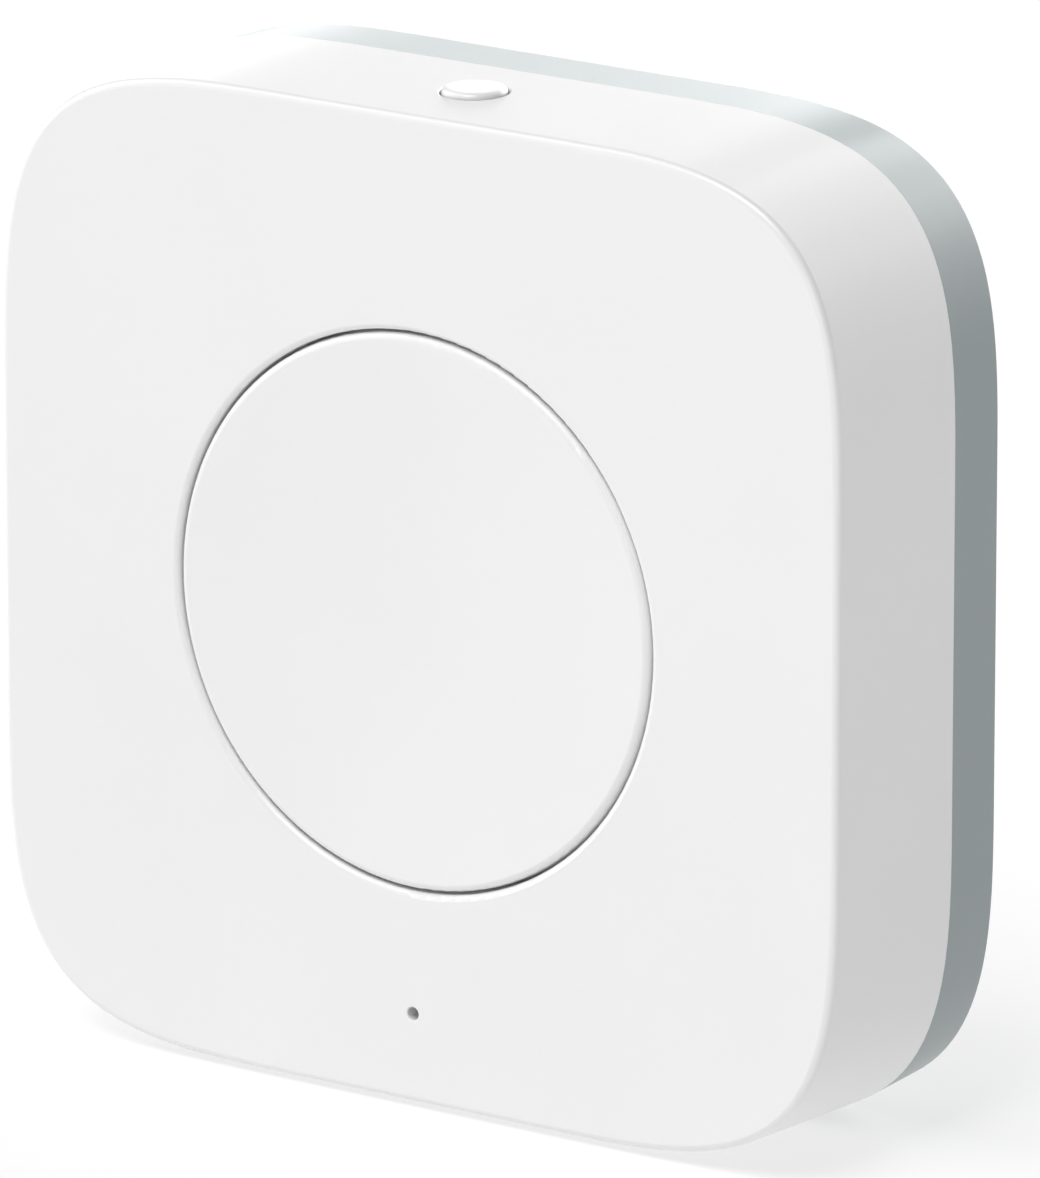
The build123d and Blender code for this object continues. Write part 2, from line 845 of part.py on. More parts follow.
def rear_cover():
    """Grey cover with a skirt, four spring arms, two posts, ribs, a pry notch and a pad recess."""
    cover = fillet(undermost(drafted(cover_width, 0, seam)), rear_round)
    skirt_top = seam + skirt_height
    cover += drafted(skirt_width, rear_wall, skirt_top)
    cover -= drafted(lambda z: skirt_width(z) - 2 * skirt_thickness, rear_wall, skirt_top + overrun)
    for turn, place in arm_sides:
        cover += Rot(0, 0, turn) * Pos(0, place, 0) * spring_arm()
    for x, y in pin_places:
        post = disc(post_foot_radius, rear_wall, board_back - touch_gap)
        relief = pin_radius + post_relief_gap
        post -= disc(relief, board_back - pin_stand - 2 * touch_gap, board_back + overrun)
        cover += Pos(x, y, 0) * post
    rib_top = cell_low - touch_gap
    cover += ring(cell_rib_radius, cell_rib_radius + cell_rib_thickness, rear_wall, rib_top)
    cross = centred(2 * cell_rib_radius, cell_rib_thickness, rear_wall, rib_top)
    cover += [cross, Rot(0, 0, 90) * cross]
    low_edge = cover_width(seam) / 2
    pry = disc(pry_radius, seam - pry_height, seam + skirt_height)
    cover -= Pos(0, pry_depth - low_edge - pry_radius, 0) * pry
    return cover - extrude(outline_pad(pad_width + 2 * pad_side_gap), pad_recess)


def spring_arm():
    """Arm that rises from the skirt, with a round nose that runs in the housing's channel."""
    outer = skirt_width(seam + arm_height) / 2
    arm = block(
        (outer - skirt_thickness, outer), (-arm_width / 2, arm_width / 2), (rear_wall, seam + arm_height)
    )
    channel_floor = cavity_width(arm_nose_height()) / 2 + channel_depth
    nose = Rot(90, 0, 0) * Cylinder(arm_nose_radius, arm_width)
    return arm + Pos(channel_floor - arm_nose_gap - arm_nose_radius, 0, arm_nose_height()) * nose


def outline_pad(width):
    """Rounded square of the foam pad, its flats shortened with its width."""
    return scale(outline(body_width), width / body_width)


def adhesive_pad():
    """Foam pad with adhesive on both sides, level with the cover's rear face."""
    return extrude(outline_pad(pad_width), pad_recess)


pieces = {
    "front_housing": front_housing(),
    "main_button": main_button(),
    "light_pipe": light_pipe(),
    "status_led": status_led(),
    "reset_button": reset_button(),
    "circuit_board": circuit_board(),
    "board_screws": board_screws(),
    "main_switch_base": main_switch_base(),
    "main_switch_cover": main_switch_cover(),
    "main_switch_dome": main_switch_dome(),
    "main_switch_plunger": main_switch_plunger(),
    "main_switch_leads": main_switch_leads(),
    "reset_switch_base": reset_switch_base(),
    "reset_switch_frame": reset_switch_frame(),
    "reset_switch_plunger": reset_switch_plunger(),
    "reset_switch_dome": reset_switch_dome(),
    "battery_can": cell_can(),
    "battery_cap": cell_cap(),
    "battery_gasket": cell_gasket(),
    "battery_filling": cell_filling(),
    "battery_cradle": battery_cradle(),
    "positive_contact": positive_contact(),
    "negative_contact": negative_contact(),
    "radio_shield": radio_shield(),
    "radio_chip": radio_chip(),
    "radio_crystal": radio_crystal(),
    "antenna_trace": antenna_trace(),
    "test_pads": test_pads(),
    "board_capacitors": board_parts(capacitor_place_shares, capacitor_height),
    "board_resistors": board_parts(resistor_place_shares, resistor_height),
    "rear_cover": rear_cover(),
    "adhesive_pad": adhesive_pad(),
}

os.makedirs("parts", exist_ok=True)
upright = Rot(90, 0, 0)
for name, piece in pieces.items():
    export_step(upright * piece, f"parts/{name}.step")
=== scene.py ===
"""Looks of the smart button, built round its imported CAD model.

Laid out as a Blender add-on and run as a script. Lengths are metres, in the CAD model's frame:
X right, Y into the wall, Z up. The button stands on its lower side on a white table.
"""

import json
import math

import bmesh
import bpy
from bpy.props import FloatProperty, FloatVectorProperty, PointerProperty
from mathutils import Matrix, Vector


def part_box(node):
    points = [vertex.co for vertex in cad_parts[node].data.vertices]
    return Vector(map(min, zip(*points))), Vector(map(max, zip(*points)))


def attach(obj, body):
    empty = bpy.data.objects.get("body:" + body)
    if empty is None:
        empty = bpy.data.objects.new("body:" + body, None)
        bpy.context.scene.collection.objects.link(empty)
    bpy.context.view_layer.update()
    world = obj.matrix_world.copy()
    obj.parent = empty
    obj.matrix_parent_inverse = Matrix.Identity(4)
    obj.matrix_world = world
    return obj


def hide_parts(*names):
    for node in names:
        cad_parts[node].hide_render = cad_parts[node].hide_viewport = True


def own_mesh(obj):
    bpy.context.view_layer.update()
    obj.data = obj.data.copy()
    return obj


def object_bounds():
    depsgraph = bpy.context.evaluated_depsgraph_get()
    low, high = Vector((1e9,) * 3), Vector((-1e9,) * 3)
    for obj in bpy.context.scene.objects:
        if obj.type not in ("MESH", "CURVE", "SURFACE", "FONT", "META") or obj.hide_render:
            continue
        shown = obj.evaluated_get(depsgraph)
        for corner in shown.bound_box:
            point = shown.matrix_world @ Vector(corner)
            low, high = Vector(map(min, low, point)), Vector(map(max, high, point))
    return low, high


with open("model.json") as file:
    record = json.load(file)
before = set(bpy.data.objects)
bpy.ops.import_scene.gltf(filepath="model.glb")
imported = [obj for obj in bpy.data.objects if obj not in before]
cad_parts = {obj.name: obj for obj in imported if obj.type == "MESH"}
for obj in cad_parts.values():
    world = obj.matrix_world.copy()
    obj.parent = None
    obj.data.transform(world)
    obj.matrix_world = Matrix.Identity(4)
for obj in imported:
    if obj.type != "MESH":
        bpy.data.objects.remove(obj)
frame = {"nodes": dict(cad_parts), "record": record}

bl_info = {
    "name": "Smart Button Looks",
    "version": (1, 0, 0),
    "blender": (4, 5, 0),
    "location": "3D View > Sidebar > Smart Button",
    "description": "Finishes, small parts and studio for the smart button",
    "category": "Object",
}

# Places that the frame gives
CAD_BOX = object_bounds()
TABLE_HEIGHT = CAD_BOX[0][2]
BOARD_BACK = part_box("circuit_board")[1].y


# Shader nodes


class Wire:
    """An output socket of a finish. Arithmetic on it adds Math nodes."""

    def __init__(self, finish, socket):
        self.finish, self.socket = finish, socket

    def __add__(self, other):
        return self.finish.math("ADD", self, other)

    def __mul__(self, other):
        return self.finish.math("MULTIPLY", self, other)

    def __gt__(self, other):
        return self.finish.math("GREATER_THAN", self, other)

    def __lt__(self, other):
        return self.finish.math("LESS_THAN", self, other)

    __radd__ = __add__
    __rmul__ = __mul__


class Finish:
    """A material with one Principled shader and the nodes that lead to it."""

    def __init__(self, name, **constants):
        self.material = bpy.data.materials.new(name)
        self.material.use_nodes = True
        self.tree = self.material.node_tree
        self.shader = self.tree.nodes["Principled BSDF"]
        self.set(**constants)
        self.place = self.node("ShaderNodeTexCoord", {}, output="Object")

    def set(self, **values):
        """Sets the shader's sockets, given with underscores for spaces, to a constant or a wire."""
        for name, value in values.items():
            self.put(self.shader.inputs[name.replace("_", " ")], value)

    def put(self, socket, value):
        """Links a wire to a socket, or gives the socket a constant."""
        if isinstance(value, Wire):
            self.tree.links.new(value.socket, socket)
        else:
            socket.default_value = value

    def node(self, kind, settings, *values, output=0, **named):
        """Adds a node: its settings first, then its sockets in order or by name."""
        node = self.tree.nodes.new(kind)
        for name, value in settings.items():
            if name == "stops":
                self.stops(node.color_ramp, value)
            else:
                setattr(node, name, value)
        for number, value in enumerate(values):
            self.put(node.inputs[number], value)
        for name, value in named.items():
            self.put(node.inputs[name.replace("_", " ")], value)
        return Wire(self, node.outputs[output])

    @staticmethod
    def stops(ramp, stops):
        """Gives a colour ramp these stops, each a position and a colour."""
        while len(ramp.elements) < len(stops):
            ramp.elements.new(1)
        for element, (position, colour) in zip(ramp.elements, stops):
            element.position, element.color = position, colour

    def math(self, operation, *values):
        """Adds a Math node."""
        return self.node("ShaderNodeMath", {"operation": operation}, *values)

    def axes(self, vector):
        """The three numbers of a vector."""
        split = self.node("ShaderNodeSeparateXYZ", {}, vector)
        return [Wire(self, socket) for socket in split.socket.node.outputs]

    def noise(self, size, detail=2.0):
        """Noise from 0 to 1 whose grains are about this size."""
        return self.node("ShaderNodeTexNoise", {}, output="Fac",
                         Vector=self.place, Scale=1 / size, Detail=detail)

    def mix(self, factor, one, other):
        """Mixes two colours, each a constant or a wire, by a factor."""
        node = self.node("ShaderNodeMix", {"data_type": "RGBA"}, output="Result").socket.node
        colours = [socket for socket in node.inputs if socket.type == "RGBA"]
        for socket, value in zip((node.inputs[0], *colours), (factor, one, other)):
            self.put(socket, value)
        result = next(socket for socket in node.outputs if socket.type == "RGBA")
        return Wire(self, result)

    def tint(self, factor, dark, light):
        """Mixes two colours that are constants by a factor."""
        return self.node("ShaderNodeValToRGB",
                         {"stops": [(0.0, (*dark, 1)), (1.0, (*light, 1))]}, factor, output="Color")

    def bump(self, height, depth):
        """Normal for a height from 0 to 1 that is this deep."""
        return self.node("ShaderNodeBump", {}, output="Normal", Distance=depth, Height=height)

    def surface(self, tone, patch, darkest, mark, roughness, spread, depth, lightest=1.0):
        """Sets a tone that drifts from patch to patch, and marks that roughen and dent it."""
        self.set(Base_Color=self.tint(patch, shaded(tone, darkest), shaded(tone, lightest)),
                 Roughness=roughness + mark * spread, Normal=self.bump(mark, depth))


def shaded(tone, factor):
    """A colour made darker or lighter, at most to white."""
    return tuple(min(1.0, channel * factor) for channel in tone)


def paint(piece, *finishes):
    """Puts these finishes in a piece's material slots."""
    materials = piece.data.materials
    for number, finish in enumerate(finishes):
        if number < len(materials):
            materials[number] = finish.material
        else:
            materials.append(finish.material)


def node_piece(name):
    """The object of a CAD node."""
    return frame["nodes"][name]


def node_slot(name):
    """The record's material slot of a CAD node."""
    part = next(part for part in frame["record"]["subparts"] if part["node"] == name)
    return part["material_slot"]


def paint_nodes(finish, *names):
    """Gives these CAD nodes a finish."""
    for name in names:
        paint(node_piece(name), finish)


# Sizes and colours that a user would change


def length(name, description, default):
    """A setting in metres."""
    return FloatProperty(name=name, description=description, default=default, unit="LENGTH",
                         precision=6)


def share(name, description, default):
    """A setting from 0 to 1."""
    return FloatProperty(name=name, description=description, default=default, min=0, max=1,
                         subtype="FACTOR")


def colour(name, description, default):
    """A setting that is a colour."""
    return FloatVectorProperty(name=name, description=description, default=default, min=0, max=1,
                               size=3, subtype="COLOR")


class PlasticSettings(bpy.types.PropertyGroup):
    """Looks of the housing, the buttons and the rear cover"""

    white: colour("White", "Colour of the housing and the buttons", (0.8, 0.8, 0.8))
    grey: colour("Grey", "Colour of the rear cover", (0.258, 0.3, 0.305))
    roughness: share("Roughness", "Roughness of the satin moulded plastic", 0.3)
    grain: length("Grain", "Size of the spark-eroded grain of the moulds", 0.00012)
    grain_depth: length("Grain depth", "Depth of that grain", 0.0000012)


class BoardSettings(bpy.types.PropertyGroup):
    """Looks and sizes of the circuit board and its solder"""

    mask: colour("Solder mask", "Colour of the lacquer on the board", (0.012, 0.105, 0.048))
    copper: colour("Tracks", "Colour of the lacquer where copper lies under it",
                   (0.03, 0.17, 0.085))
    laminate: colour("Laminate", "Colour of the board's cut edges", (0.42, 0.36, 0.2))
    track_width: length("Track width", "Width of a track", 0.00022)
    track_pitch: length("Track pitch", "Distance between tracks", 0.0006)
    via_radius: length("Via radius", "Radius of a plated hole's ring", 0.00022)
    end_cap: length("End cap", "Length of a small part's tinned end", 0.00024)
    solder_reach: length("Solder reach", "How far solder spreads from a joint", 0.0003)


class MetalSettings(bpy.types.PropertyGroup):
    """Colours of the metals and the width of their scratches"""

    steel: colour("Steel", "Colour of screws and of the cell's case", (0.62, 0.61, 0.6))
    tin: colour("Tin", "Colour of tinned parts and solder", (0.72, 0.72, 0.73))
    spring: colour("Spring", "Colour of the nickel-plated springs", (0.68, 0.64, 0.57))
    gold: colour("Gold", "Colour of gold-plated copper", (0.83, 0.6, 0.27))
    scratch: length("Scratch", "Width of the finest scratches", 0.00003)


class PadSettings(bpy.types.PropertyGroup):
    """Look and edge of the adhesive foam pad"""

    foam: colour("Foam", "Colour of the adhesive foam pad", (0.42, 0.43, 0.44))
    cell: length("Cell", "Size of the foam's cells", 0.00018)
    edge: length("Edge", "Rounding of the die-cut edge", 0.00006)


class StageSettings(bpy.types.PropertyGroup):
    """Where the camera stands and what it looks at"""

    azimuth: FloatProperty(name="Azimuth", description="Camera's turn to the right of the face",
                           default=math.radians(35.091), subtype="ANGLE")
    elevation: FloatProperty(name="Elevation", description="Camera's height above the horizon",
                             default=math.radians(15.642), subtype="ANGLE")
    distance: length("Distance", "Camera to the point that it looks at", 0.588782)
    lens: FloatProperty(name="Lens", description="Focal length in millimetres on a 36 mm sensor",
                        default=409.77)
    target: FloatVectorProperty(name="Target", description="Point that the camera looks at",
                                default=(-0.000259, -0.0036, -0.000870), size=3,
                                subtype="TRANSLATION", unit="LENGTH", precision=6)


# Mesh helpers

SAME_POINT = 0.000001  # points nearer than this are one
SAME_LEVEL = 0.0000001
FLAT = math.radians(0.5)  # faces that meet at less than this are one flat face


def copied(name, flat=True):
    """Merged copy of a CAD node's mesh, if need be with its flat faces whole."""
    shape = bmesh.new()
    shape.from_mesh(node_piece(name).data)
    bmesh.ops.remove_doubles(shape, verts=shape.verts, dist=SAME_POINT)
    if flat:
        bmesh.ops.dissolve_limit(shape, angle_limit=FLAT, verts=shape.verts, edges=shape.edges)
    bmesh.ops.recalc_face_normals(shape, faces=shape.faces)
    return shape


def islands(name):
    """Low and high corners of each loose part of a CAD node, from left to right."""
    shape = copied(name)
    left, boxes = set(shape.verts), []
    while left:
        part, front = set(), [left.pop()]
        while front:
            vert = front.pop()
            part.add(vert)
            near = {other for link in vert.link_edges for other in link.verts} & left
            left -= near
            front.extend(near)
        low = Vector([min(vert.co[axis] for vert in part) for axis in range(3)])
        high = Vector([max(vert.co[axis] for vert in part) for axis in range(3)])
        boxes.append((low, high))
    shape.free()
    return sorted(boxes, key=lambda box: (round(box[0].x, 6), box[0].z))


def round_edges(shape, edges, radius, segments=2):
    """Rounds these edges of a shape."""
    bmesh.ops.bevel(shape, geom=edges, offset=radius, segments=segments, profile=0.5,
                    affect="EDGES", material=-1)


def edges_at(verts):
    """The edges that meet at these points, each once and in the same order every run."""
    return list(dict.fromkeys(link for vert in verts for link in vert.link_edges))


def block(shape, low, high, edge=0.0, slot=0):
    """Adds a box with rounded edges and returns its corners."""
    size, middle = high - low, (high + low) / 2
    place = Matrix.Translation(middle) @ Matrix.Diagonal((*size, 1))
    made = bmesh.ops.create_cube(shape, size=1, matrix=place)["verts"]
    for face in {face for vert in made for face in vert.link_faces}:
        face.material_index = slot
    if edge:
        round_edges(shape, edges_at(made), edge)
    return made


def make_piece(name, shape, body, slot, *replaced, sharp=35.0):
    """Turns a bmesh into a piece that rides on a body and stands for CAD nodes."""
    mesh = bpy.data.meshes.new(name)
    shape.to_mesh(mesh)
    shape.free()
    mesh.shade_smooth()
    mesh.set_sharp_from_angle(angle=math.radians(sharp))
    piece = bpy.data.objects.new(name, mesh)
    bpy.context.scene.collection.objects.link(piece)
    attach(piece, body)
    if replaced:
        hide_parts(*replaced)
    return piece


# Outer mouldings

PLASTIC_PATCH = 0.009
GRAIN_ROUGHNESS = 0.08  # from the valleys of the grain to its peaks
PAD_RIM = math.radians(60)  # edges sharper than this are the die-cut pad's rims
FOAM_PATCH = 0.004


def moulded_plastic(name, tone):
    """Satin plastic with a fine spark-eroded grain and a faint unevenness of tone."""
    look = bpy.context.scene.button_plastic
    finish = Finish(name, IOR=1.55)
    finish.surface(tone, patch=finish.noise(PLASTIC_PATCH, detail=1.0),
                   darkest=0.985, lightest=1.012, mark=finish.noise(look.grain, detail=3.0),
                   roughness=look.roughness - GRAIN_ROUGHNESS / 2, spread=GRAIN_ROUGHNESS,
                   depth=look.grain_depth)
    return finish


class SMARTBUTTON_OT_shell(bpy.types.Operator):
    """Finish the white housing and the two buttons"""

    bl_idname = "smartbutton.shell"
    bl_label = "Housing and buttons"

    def execute(self, context):
        white = moulded_plastic("white moulded plastic", context.scene.button_plastic.white)
        paint_nodes(white, "front_housing", "reset_button")
        # The CAD mesh is shaded unevenly at the middle of the dish, so a merged copy stands for it
        cap = make_piece("button_cap", copied("main_button", flat=False), "main_button",
                         "white_plastic", "main_button")
        cap.modifiers.new("even shading", "WEIGHTED_NORMAL").keep_sharp = True
        paint(cap, white)
        return {"FINISHED"}


class SMARTBUTTON_OT_cover(bpy.types.Operator):
    """Finish the blue-grey rear cover"""

    bl_idname = "smartbutton.cover"
    bl_label = "Rear cover"

    def execute(self, context):
        grey = moulded_plastic("grey moulded plastic", context.scene.button_plastic.grey)
        paint_nodes(grey, "rear_cover")
        return {"FINISHED"}


class SMARTBUTTON_OT_pad(bpy.types.Operator):
    """Make the adhesive foam pad behind the rear cover"""

    bl_idname = "smartbutton.pad"
    bl_label = "Foam pad"

    def execute(self, context):
        look = context.scene.button_pad
        shape = copied("adhesive_pad")
        rims = [edge for edge in shape.edges
                if len(edge.link_faces) == 2 and edge.calc_face_angle() > PAD_RIM]
        round_edges(shape, rims, look.edge, segments=3)
        pad = make_piece("foam_pad", shape, "rear_cover", "foam_pad", "adhesive_pad")
        finish = Finish("adhesive foam")
        cells = finish.node("ShaderNodeTexVoronoi", {}, output="Distance",
                            Vector=finish.place, Scale=1 / look.cell)
        finish.surface(look.foam, patch=finish.noise(FOAM_PATCH), darkest=0.93, mark=cells,
                       roughness=0.62, spread=0.25, depth=0.00002)
        paint(pad, finish)
        return {"FINISHED"}


# Circuit board and what is soldered to it

TRACK_RUN = 0.006  # how far up the board a track goes before it turns back
TRACK_JOG = 0.0035  # how far sideways its slant takes it
ROUTED_PATCH = 0.007  # size of the areas with and without tracks
ROUTED_OVER = 0.52  # noise above this has tracks
VIA_SPACING = 0.0032
VIA_HOLE = 0.4  # share of a plated ring's radius that is hole
FIBRE = 0.0003  # size of the glass weave that shows through the lacquer
CUT_EDGE = 0.5  # faces that point less than this towards the wall or away are the board's edges
LACQUER_ROUGHNESS, FIBRE_ROUGHNESS, EDGE_ROUGHNESS = 0.3, 0.15, 0.3  # the last two are added
BOARD_RELIEF = 0.00003
COPPER_RELIEF = 0.8  # share of that relief that is copper; the rest is fibre
BODY_SPECK = 0.0002  # size of the filler in a small part's body
PART_EDGE = 0.00004  # rounding of a small part's tinned ends
SOLDER_INSET = 0.00004  # how much narrower solder is than the part, at each side
SOLDER_CLIMB = 0.6  # share of a small part's height that solder climbs
SOLDER_TOE = 0.15  # height of a bead's thin side as a share of its highest
SOLDER_EDGE = 0.000015
SHIELD_JOINTS = 3  # solder joints on each side of the radio shield
JOINT_START, JOINT_LENGTH = 0.3, 0.4  # shares of the spacing of those joints
SMALL_PARTS = (  # node, piece and colour
    ("board_capacitors", "capacitors", (0.36, 0.25, 0.16)),
    ("board_resistors", "resistors", (0.02, 0.02, 0.022)),
)


class SMARTBUTTON_OT_board(bpy.types.Operator):
    """Finish the circuit board with lacquer, tracks and plated holes"""

    bl_idname = "smartbutton.board"
    bl_label = "Circuit board"

    def execute(self, context):
        look = context.scene.button_board
        finish = Finish("lacquered board", Coat_Weight=0.35, Coat_Roughness=0.15, IOR=1.5)
        across, _, up = finish.axes(finish.place)
        jog = finish.math("MINIMUM", finish.math("PINGPONG", up, TRACK_RUN), TRACK_JOG)
        line = finish.math("PINGPONG", across + jog, look.track_pitch) < look.track_width / 2
        routed = finish.noise(ROUTED_PATCH, detail=0.0) > ROUTED_OVER
        spots = finish.node("ShaderNodeTexVoronoi", {"voronoi_dimensions": "2D"}, output="Distance",
                            Vector=finish.node("ShaderNodeCombineXYZ", {}, across, up),
                            Scale=1 / VIA_SPACING, Randomness=0.9) * VIA_SPACING
        ring = (spots < look.via_radius) * (spots > look.via_radius * VIA_HOLE)
        copper = finish.math("MAXIMUM", line * routed, ring)
        facing = finish.node("ShaderNodeTexCoord", {}, output="Normal")
        edge = finish.math("ABSOLUTE", finish.axes(facing)[1]) < CUT_EDGE
        lacquer = finish.tint(copper, look.mask, look.copper)
        fibre = finish.noise(FIBRE)
        relief = copper * COPPER_RELIEF + fibre * (1 - COPPER_RELIEF)
        finish.set(Base_Color=finish.mix(edge, lacquer, (*look.laminate, 1)),
                   Roughness=LACQUER_ROUGHNESS + fibre * FIBRE_ROUGHNESS + edge * EDGE_ROUGHNESS,
                   Normal=finish.bump(relief, BOARD_RELIEF))
        paint_nodes(finish, "circuit_board")
        return {"FINISHED"}


def small_part(shape, low, high, cap):
    """Chip part: a body in slot 0 between two tinned ends in slot 1."""
    inner = Vector((cap, 0, 0))
    thin = Vector((0, PART_EDGE, PART_EDGE)) / 2
    block(shape, low + inner + thin, high - inner - thin, PART_EDGE / 2, 0)
    block(shape, low, Vector((low.x + cap, high.y, high.z)), PART_EDGE, 1)
    block(shape, Vector((high.x - cap, low.y, low.z)), high, PART_EDGE, 1)


def solder_sides(shape, low, high, reach):
    """Beads of solder at the left and right of a box, highest at the box and thin far from it."""
    for start, far in ((low.x - reach, low.x - reach), (high.x, high.x + reach)):
        made = block(shape, Vector((start, low.y, low.z)), Vector((start + reach, high.y, high.z)))
        for vert in made:
            if abs(vert.co.y - high.y) < SAME_LEVEL and abs(vert.co.x - far) < SAME_LEVEL:
                vert.co.y = low.y + (high.y - low.y) * SOLDER_TOE
        round_edges(shape, edges_at(made), SOLDER_EDGE)


class SMARTBUTTON_OT_small_parts(bpy.types.Operator):
    """Make the capacitors and resistors with tinned ends, and their solder"""

    bl_idname = "smartbutton.small_parts"
    bl_label = "Small parts and solder"

    def execute(self, context):
        look = context.scene.button_board
        tin = metal("tinned ends", context.scene.button_metal.tin, roughness=0.3)
        solder = bmesh.new()
        for node, name, tone in SMALL_PARTS:
            shape = bmesh.new()
            for low, high in islands(node):
                small_part(shape, low, high, look.end_cap)
                top = low.y + (high.y - low.y) * SOLDER_CLIMB
                solder_sides(solder, Vector((low.x, low.y, low.z + SOLDER_INSET)),
                             Vector((high.x, top, high.z - SOLDER_INSET)), look.solder_reach)
            piece = make_piece(name, shape, "housing", node_slot(node), node)
            body = Finish(name, Base_Color=(*tone, 1))
            body.set(Roughness=0.35 + body.noise(BODY_SPECK) * 0.3)
            paint(piece, body, tin)
        self.shield_solder(solder, look.solder_reach)
        joints = make_piece("solder_joints", solder, "housing", node_slot("radio_shield"))
        paint(joints, tin)
        return {"FINISHED"}

    @staticmethod
    def shield_solder(shape, reach):
        """Adds the solder joints along the left and right walls of the radio shield."""
        low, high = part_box("radio_shield")
        spacing = (high.z - low.z) / SHIELD_JOINTS
        for number in range(SHIELD_JOINTS):
            foot = low.z + spacing * (number + JOINT_START)
            solder_sides(shape, Vector((low.x, BOARD_BACK, foot)),
                         Vector((high.x, BOARD_BACK + reach, foot + spacing * JOINT_LENGTH)), reach)


# Metals

METAL_PATCH = 0.002
CASE_PATCH = 0.003
TURNING_RINGS = 12000  # rings of noise in a metre of radius
HEAD_SEGMENTS = 64
HEAD_TOP = 0.45  # radius of the flat top, as a share of the screw head's
HEAD_RINGS = ((0.74, 0.04), (0.9, 0.18), (1.0, 0.45), (1.0, 1.0))  # shares of radius and height
SHANK = 0.46  # share of the head's radius
TIP_LENGTH, TIP_WIDTH = 0.14, 0.3  # shares of the shank's length and radius
RECESS_LIP, RECESS_DEPTH = 0.03, 0.3  # shares of the head's radius
RECESS_WAIST = 0.35  # width of the recess between its arms, as a share of its width at them
RECESS_FLOOR = 0.55  # width of its floor as a share of its mouth
ARM_SHARPNESS = 14  # a higher power makes narrower arms
THREAD_PITCH = 0.00045
THREAD_STEPS = 28  # for each turn
THREAD_ROOT, THREAD_HEIGHT = 0.96, 0.28  # shares of the shank's radius
THREAD_START, THREAD_LENGTH = 0.1, 0.8  # shares of the shank's length
MAIN_DOME_KEEP, RESET_DOME_KEEP = 0.45, 0.3  # shares of its height that a pressed dome keeps


def metal(name, tone, roughness):
    """Metal with fine scratches that catch the light."""
    finish = Finish(name, Metallic=1.0)
    scratches = finish.noise(bpy.context.scene.button_metal.scratch, detail=4.0)
    finish.surface(tone, patch=finish.noise(METAL_PATCH), darkest=0.9, mark=scratches,
                   roughness=roughness, spread=0.12, depth=0.000002)
    return finish


def turned_metal(name, tone, roughness):
    """Metal with fine rings round the middle, as drawn and polished discs have."""
    finish = Finish(name, Metallic=1.0)
    across, _, up = finish.axes(finish.place)
    radius = finish.math("SQRT", across * across + up * up)
    rings = finish.node("ShaderNodeTexNoise", {"noise_dimensions": "1D"}, output="Fac",
                        W=radius * TURNING_RINGS, Detail=3.0)
    finish.surface(tone, patch=finish.noise(CASE_PATCH), darkest=0.92, mark=rings,
                   roughness=roughness, spread=0.15, depth=0.0000015)
    return finish


